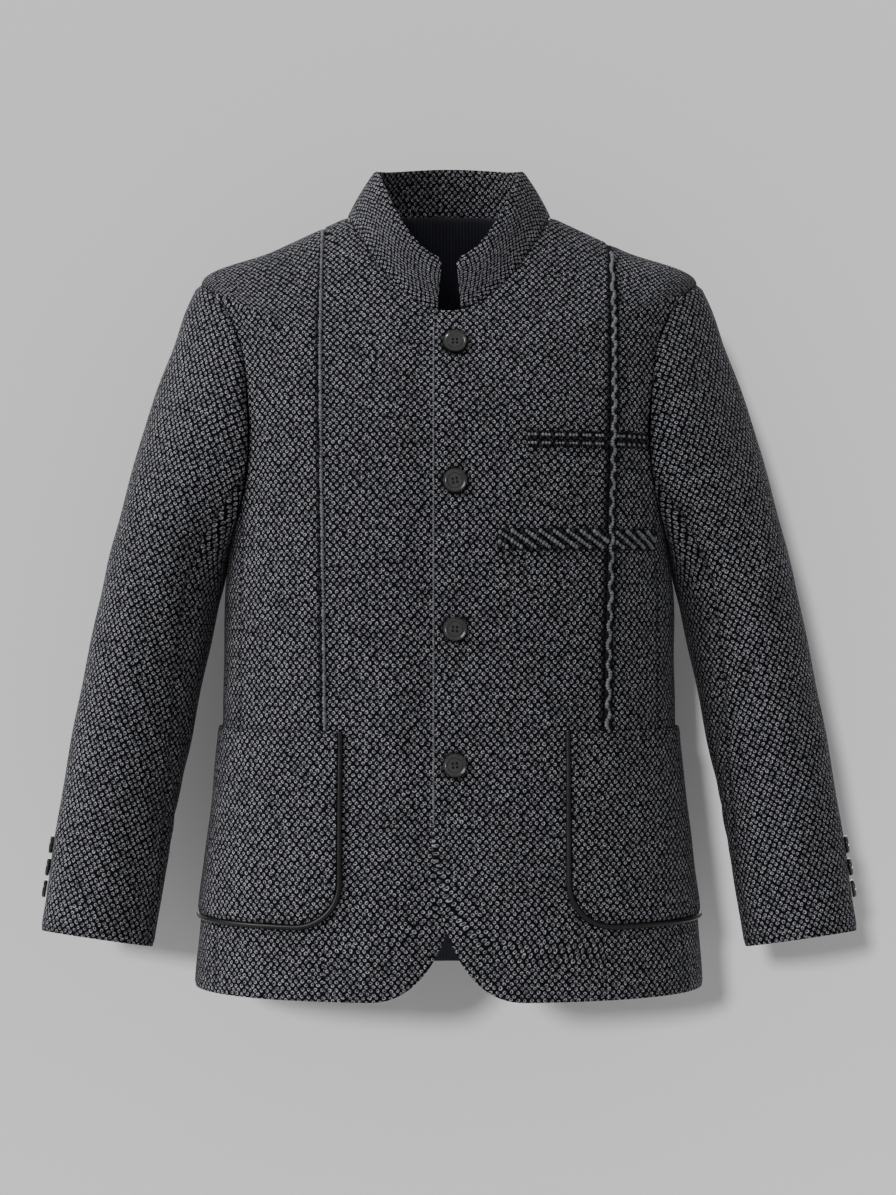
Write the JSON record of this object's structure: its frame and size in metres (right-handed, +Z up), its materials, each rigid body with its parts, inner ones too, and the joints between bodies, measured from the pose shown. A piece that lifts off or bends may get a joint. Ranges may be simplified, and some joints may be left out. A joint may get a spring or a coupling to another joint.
{
  "type": "mao jacket",
  "caption": "Tweed mao jacket with a stand collar, buttoned front, cutaway hem and bound patch pockets, standing hollow as it is worn.",
  "frame": {"origin": "midway between the two shoulder-neck points, on the line where the shoulders carry the jacket", "axes": "+X towards the wearer's left, +Y towards the back, +Z up"},
  "size_m": [0.756, 0.2699, 0.7708],
  "materials": {
    "tweed": "coarse charcoal and grey tweed",
    "lining": "navy-black striped lining",
    "binding": "black satin binding",
    "trim": "black ground with grey yarn",
    "horn": "dark horn-like polyester"
  },
  "bodies": {
    "root": {"back": "tweed", "back_lining": "lining", "front_left": "tweed", "front_right": "tweed", "side_front_left": "tweed", "side_front_right": "tweed", "side_panel_left": "tweed", "side_panel_right": "tweed", "collar": "tweed", "upper_sleeve_left": "tweed", "upper_sleeve_right": "tweed", "under_sleeve_left": "tweed", "under_sleeve_right": "tweed", "pocket_left": "tweed", "pocket_right": "tweed", "pocket_piping_left": "binding", "pocket_piping_right": "binding", "braid_strip": "trim", "chest_band_upper_inner": "trim", "chest_band_upper_outer": "trim", "chest_band_lower_inner": "trim", "chest_band_lower_outer": "trim", "front_button_1": "horn", "front_button_2": "horn", "front_button_3": "horn", "front_button_4": "horn", "cuff_button_left_1": "horn", "cuff_button_left_2": "horn", "cuff_button_left_3": "horn", "cuff_button_right_1": "horn", "cuff_button_right_2": "horn", "cuff_button_right_3": "horn"}
  },
  "joints": []
}
